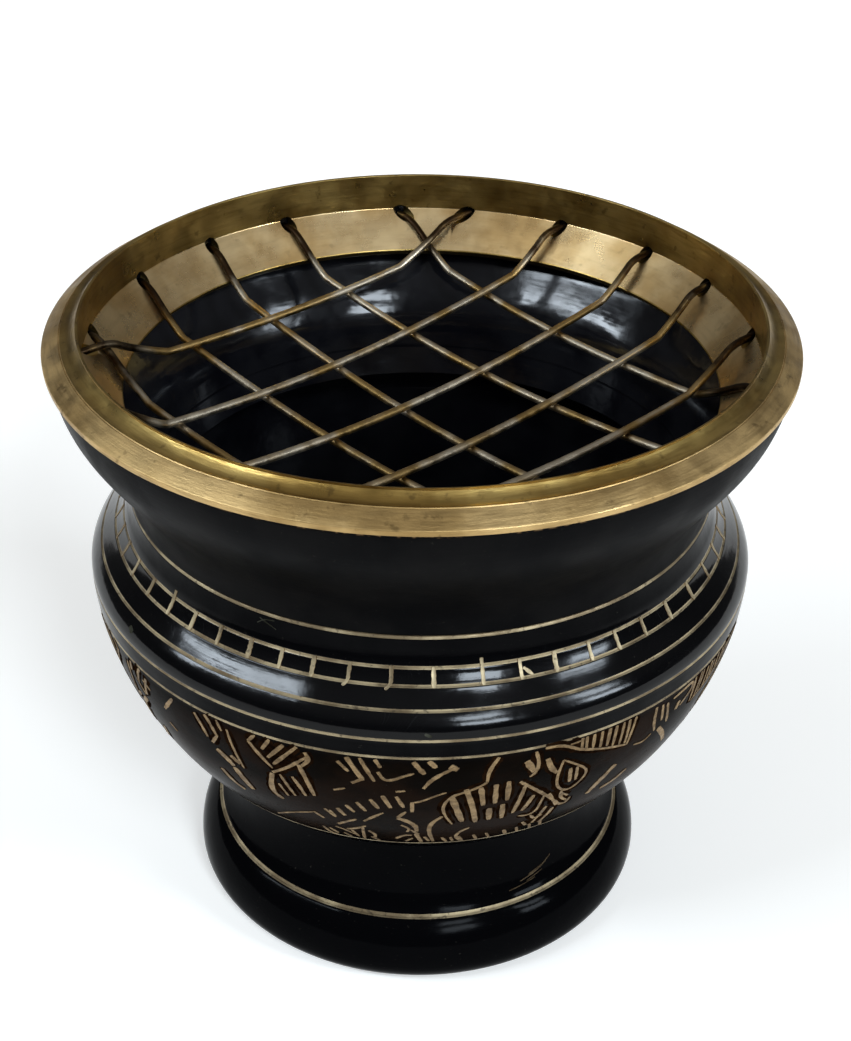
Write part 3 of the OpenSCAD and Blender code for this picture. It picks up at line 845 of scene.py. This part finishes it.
def build_ground():
    """The enamel round the leaves and the fan, browned where the chisel has bruised it."""
    stains = []
    for quarter in range(4):
        leaves = LEFT_SPRAY + LEFT_LEAF + FAN + RIGHT_LEAF + RIGHT_HATCH
        bruised = around(leaves, 90 * quarter, quarter % 2 == 1, 0)
        stains += [(STAIN_W, line) for _, line in bruised]
    return cut_strokes("engraving_ground", stains, [bruised_enamel], STAIN, STAIN_MARKS)


WEAR = [
    (0.55, [(-56, 42.6), (-54.8, 42.3)]),
    (0.34, [(1, 41.8), (2.1, 41.5)]),
    (0.12, [(-30, 48.3), (-28.5, 48.9), (-26.5, 49)]),
    (0.12, [(-29.5, 48.9), (-26, 48.2)]),
]
# Fine scratches low on the waist, drawn as pale brown lines that are partly wear and partly a painted
# highlight where light glints on them.
SCUFFS_AND_GLINTS = [
    (0.12, [(27, 8.6), (31, 8.7), (36, 8.9)]),
    (0.16, [(31, 9.1), (38, 9.5), (43, 10.3)]),
    (0.12, [(34, 9.4), (41, 9.9)]),
    (0.1, [(33, 8.9), (39, 9.3)]),
]


RUNG_AZIMUTHS = (
    -64.2, -57, -50, -43.5, -37.2, -30.5, -24.2, -18.2, -11.8, -4.7,
    2.5, 10.8, 17.5, 24, 30.8, 36.5, 43, 50, 57.5, 65,
)
RUNG_PITCH = 6.8
RUNG_TOP, RUNG_LOW = 46.65, 45.2
TALL_RUNG_TOP, TAIL_LOW = 47.3, 44.9
TALL_RUNGS = (-50, 10.8)
TAILED_RUNGS = (-11.8, -4.7)


def build_ladder():
    """Short upright cuts between the two close lines on the shoulder."""
    azimuths = list(RUNG_AZIMUTHS)
    while azimuths[-1] + 1.5 * RUNG_PITCH < RUNG_AZIMUTHS[0] + 360:
        azimuths.append(azimuths[-1] + RUNG_PITCH + random.uniform(-0.6, 0.6))
    strokes = [(0.4, [(18, 46.0), (19.5, 45.3)])]
    for a in azimuths:
        lean = random.uniform(-0.35, 0.35)
        top = TALL_RUNG_TOP if a in TALL_RUNGS else RUNG_TOP + 0.1
        low = (a - 0.9, TAIL_LOW) if a in TAILED_RUNGS else (a + lean, RUNG_LOW - 0.1)
        line = [(a, top), (a + 0.5 * lean, 45.9), (a + 0.3 * lean, 45.3), low]
        strokes.append((random.uniform(0.42, 0.6), line))
    return cut_strokes("shoulder_ticks", strokes, [gilt, chisel])


dress(build_engraving(), "burner", "aged_brass")
dress(build_ground(), "burner", "black_enamel")
dress(build_ladder(), "burner", "aged_brass")
dress(cut_strokes("shoulder_wear", WEAR, [worn_enamel, worn_enamel]), "burner", "aged_brass")
# Waist scratches, partly wear and partly a painted highlight.
scuffs_and_glints = cut_strokes("waist_scuffs_and_glints", SCUFFS_AND_GLINTS, [chisel_edge, chisel_edge], surface=waist_surface)
dress(scuffs_and_glints, "burner", "aged_brass")


# ---------------------------------------------------------------- the loose ring and its wires
def wire_line(node):
    """Middle in plan, direction and half length of a CAD wire, worked out from its box."""
    low, high = corner(node, 0), corner(node, 1)
    middle, size = (low + high) / 2, high - low
    turn = math.pi / 4
    for _ in range(8):
        turn = math.atan2(size.y - 2 * WIRE_R * math.cos(turn), size.x - 2 * WIRE_R * math.sin(turn))
    half = (size.x - 2 * WIRE_R * math.sin(turn)) / (2 * math.cos(turn))
    if node.startswith("lower"):
        turn = -turn
    middle.z = 0
    return middle, Vector((math.cos(turn), math.sin(turn), 0)), half


def wire_levels(node):
    """Heights of a CAD wire's axis in its middle and at its ends."""
    return corner(node, 0).z + WIRE_R, corner(node, 1).z - BEAD_R


def half_wire(node):
    """Half of a wire's axis as (distance from its middle, height).

    It is round in the middle, then goes up to the dish, along it and level into the hole."""
    middle, _, half = wire_line(node)
    mid_z, level = wire_levels(node)
    lift = WIRE_LIFT if node.startswith("upper") else 0

    def along_to(radius):
        return math.sqrt(radius**2 - middle.length**2)

    foot = along_to(DISH_R - DROP_W - DROP_LEAD * lift)
    rise = (WIRE_R + WIRE_GAP + lift) * math.hypot(1, DISH_SLOPE)
    bend = DISH_R + (level - DISH_LOW_Z - rise) / DISH_SLOPE
    hang = [(s, mid_z + SAG_R - math.sqrt(SAG_R**2 - s**2)) for s in (foot * i / 24 for i in range(25))]
    return hang + [(along_to(DISH_R), DISH_LOW_Z + rise), (along_to(bend), level), (half, level)]


PLUG_FROM = 0.735
HOLE_INSIDE, HOLE_OUTSIDE = 9, 6
WIRES = [f"{layer}_wire_{i}" for layer in ("upper", "lower") for i in range(1, 6)]


def build_ring():
    """The turned screen ring: plug, rim, cove and dish, with its holes drilled."""
    plug_from = share_at(FLARE_CURVE, RING_LOW_Z + 0.7)
    plug = [
        (r - COLLAR_WALL - RING_CLEAR, z + 0.1, 0)
        for r, z, _ in grooved(FLARE_CURVE, start=max(plug_from, PLUG_FROM), end=1, steps=16)
    ]
    cove = []
    for i in range(9):
        t = i / 8
        z = RIDGE_Z + (RING_TOP_Z - RIDGE_Z) * t - 4 * COVE_DEPTH * t * (1 - t)
        cove.append((RIDGE_R - (RIDGE_R - OPENING_R) * t, z, 0))
    profile = plug[:-1]
    profile += rounded(
        [
            (plug[-1][0], SEAT_Z, 0, 0),
            (RING_R - 0.05, SEAT_Z, 1, 0.12),
            (RING_R, EDGE_Z - 0.1, 1, 0.12),
            (RIDGE_R + 0.12, RIDGE_Z - 0.02, 1, 0.1),
        ]
    )
    profile += cove[:-1]
    profile += rounded(
        [
            (OPENING_R + 0.25, RING_TOP_Z - 0.02, 0, 0),
            (OPENING_R, RING_TOP_Z - 0.08, 0, 0.05),
            (OPENING_R, DISH_TOP_Z, 2, 0.06),
            (DISH_R, DISH_LOW_Z, 0, 0.2),
            (DISH_R + 0.8, DISH_LOW_Z - 0.8, 0, 0.15),
        ]
    )
    ring = revolve("brass_screen_ring", profile, [rim_brass, band_brass, dish_brass], RING_STEPS)
    drill_holes(ring)
    return ring


def drill_holes(ring):
    """Cuts the twenty wire holes, two for each wire, through the ring's wall."""
    points, faces = [], []
    for node in WIRES:
        middle, along, half = wire_line(node)
        middle.z = wire_levels(node)[1]
        if node.startswith("lower"):
            middle.z += HOLE_R - WIRE_R - WIRE_GAP
        for side in (-1, 1):
            inner_end = middle + along * side * (half - HOLE_INSIDE)
            outer_end = middle + along * side * (half + HOLE_OUTSIDE)
            tube_points, tube_faces = tube([inner_end, outer_end], HOLE_R, 28)
            faces += [tuple(k + len(points) for k in face) for face in tube_faces]
            points += tube_points
    drill = make_piece("drill", points, faces, [])
    cut = ring.modifiers.new("holes", "BOOLEAN")
    cut.operation, cut.solver, cut.object = "DIFFERENCE", "EXACT", drill
    depsgraph = bpy.context.evaluated_depsgraph_get()
    mesh = bpy.data.meshes.new_from_object(ring.evaluated_get(depsgraph))
    ring.modifiers.clear()
    ring.data = mesh
    mesh.set_sharp_from_angle(angle=SHARP_ANGLE)
    bpy.data.objects.remove(drill)


def build_wire(node):
    """A hand-bent wire that hangs where the CAD wire does, a little wavy from side to side."""
    middle, along, half = wire_line(node)
    across = Vector((-along.y, along.x, 0))
    phase, swing = random.uniform(0, math.tau), random.uniform(0.06, 0.16)
    right = half_wire(node)
    line = smoothed([(-s, z) for s, z in reversed(right[1:])] + right)
    path = []
    for s, z in line:
        share = s / half
        wave = swing * (1 - share**6) * math.sin(phase + 3.1 * share)
        path.append(middle + along * s + across * wave + Vector((0, 0, z)))
    points, faces = tube(path, WIRE_R, 14)
    return make_piece(node.replace("wire", "drawn_wire"), points, faces, [drawn_wire])


dress(build_ring(), "screen", "aged_brass", "screen_ring")
for wire in WIRES:
    dress(build_wire(wire), "screen", "wire_brass", wire)


# ---------------------------------------------------------------- stage, light and camera
FLOOR_REACH, FLOOR_SIDES = 9000, 96
GROUND_Z = -0.02
PANE_GAP = 0.14
WINDOW_COLOUR = (0.8, 0.9, 1.0)
ROOM_DIM, ROOM_BRIGHT = 0.08, 0.42


def build_floor():
    """A wide pale floor that looks white to the camera and in reflections."""
    make = Finish("studio_floor", (0.89, 0.86, 0.81), 0.0, 0.9)
    make.shader.inputs["Specular IOR Level"].default_value = 0.0
    make.put(make.shader.inputs["Emission Color"], (1, 1, 1, 1))
    rays = make.add("ShaderNodeLightPath").outputs
    mirrored = make.sum("MAXIMUM", rays["Is Glossy Ray"], rays["Is Transmission Ray"])
    seen = make.sum("MAXIMUM", rays["Is Camera Ray"], mirrored)
    glow = make.levels(make.radius, 0.2, 2.5, 0.3, 0.85)
    make.put(make.shader.inputs["Emission Strength"], make.sum("MULTIPLY", seen, glow))
    mottle = make.noise(60, 2)
    colour = make.blend(mottle, (0.88, 0.85, 0.8), (0.9, 0.87, 0.82))
    turns = [math.tau * k / FLOOR_SIDES for k in range(FLOOR_SIDES)]
    rim = [(FLOOR_REACH * math.cos(a), FLOOR_REACH * math.sin(a), GROUND_Z) for a in turns]
    floor = make_piece("floor", rim, [tuple(range(FLOOR_SIDES))], [make.finish(colour)])
    if floor.data.polygons[0].normal.z < 0:
        floor.data.flip_normals()


def window(name, near, far, low, high, radiance, rows=1):
    """Soft upright window panes, one over another, that stand along a line on the ground, all in metres."""
    a, b = Vector((*near, 0)), Vector((*far, 0))
    facing = (b - a).cross(Vector((0, 0, 1))).normalized()
    if facing.dot(a) > 0:
        facing = -facing
    pane = (high - low - PANE_GAP * (rows - 1)) / rows
    for row in range(rows):
        light = bpy.data.lights.new(f"{name}_{row + 1}", "AREA")
        light.shape = "RECTANGLE"
        light.size = (b - a).length
        light.size_y = pane
        light.energy = radiance * math.pi * light.size * light.size_y
        light.color = WINDOW_COLOUR
        lamp = bpy.data.objects.new(light.name, light)
        bpy.context.scene.collection.objects.link(lamp)
        lamp.location = (a + b) / 2 + Vector((0, 0, low + pane / 2 + row * (pane + PANE_GAP)))
        lamp.rotation_euler = facing.to_track_quat("-Z", "Y").to_euler()
        lamp.visible_camera = False


def light_scene():
    """A room that is dim at eye level and lighter overhead.

    Bright windows stand to the left, in front and to the right, with a faint one high on the left."""
    world = bpy.data.worlds.new("studio")
    world.use_nodes = True
    tree = world.node_tree
    split = tree.nodes.new("ShaderNodeSeparateXYZ")
    tree.links.new(tree.nodes.new("ShaderNodeTexCoord").outputs["Generated"], split.inputs[0])
    climb = tree.nodes.new("ShaderNodeMapRange")
    rise = {"From Min": 0.3, "From Max": 0.95, "To Min": ROOM_DIM, "To Max": ROOM_BRIGHT}
    for socket, value in rise.items():
        climb.inputs[socket].default_value = value
    tree.links.new(split.outputs["Z"], climb.inputs["Value"])
    tree.links.new(climb.outputs[0], tree.nodes["Background"].inputs["Strength"])
    tree.nodes["Background"].inputs["Color"].default_value = (1.0, 1.0, 1.0, 1)
    bpy.context.scene.world = world
    window("left_window", (-0.73, -0.73), (-1.96, -0.07), 0.92, 1.08, radiance=38)
    window("front_window", (0.3, -1.21), (0.62, -1.07), 0.6, 1.18, radiance=32, rows=2)
    window("right_window", (1.17, -0.84), (1.62, -0.64), 0.6, 1.18, radiance=32, rows=2)
    window("high_window", (-1.0, -0.05), (-0.95, 0.32), 1.32, 1.62, radiance=4)


CAMERA_PLACE = Vector((0, -179.05, 156.97))
CAMERA_TILT = math.radians(31.79)
CAMERA_ROLL = math.radians(0.575)
FOCAL_PIXELS = 2000
PICTURE_W, PICTURE_H = 851, 1041
CENTRE_X, CENTRE_Y = 420.57, 496.83


def set_camera():
    """A camera above and in front of the burner, rolled by a hair."""
    data = bpy.data.cameras.new("camera")
    data.sensor_width = 36
    data.lens = FOCAL_PIXELS / PICTURE_H * data.sensor_width
    data.shift_x = (PICTURE_W / 2 - CENTRE_X) / PICTURE_H
    data.shift_y = (CENTRE_Y - PICTURE_H / 2) / PICTURE_H
    data.clip_start, data.clip_end = 0.01, 40
    camera = bpy.data.objects.new("camera", data)
    bpy.context.scene.collection.objects.link(camera)
    forward = Vector((0, math.cos(CAMERA_TILT), -math.sin(CAMERA_TILT)))
    turn = forward.to_track_quat("-Z", "Y")
    turn.rotate(Quaternion(forward, -CAMERA_ROLL))
    camera.rotation_mode = "QUATERNION"
    camera.location = CAMERA_PLACE * MM
    camera.rotation_quaternion = turn
    bpy.context.scene.camera = camera


build_floor()
light_scene()
set_camera()
bpy.context.scene.view_settings.view_transform = "Standard"
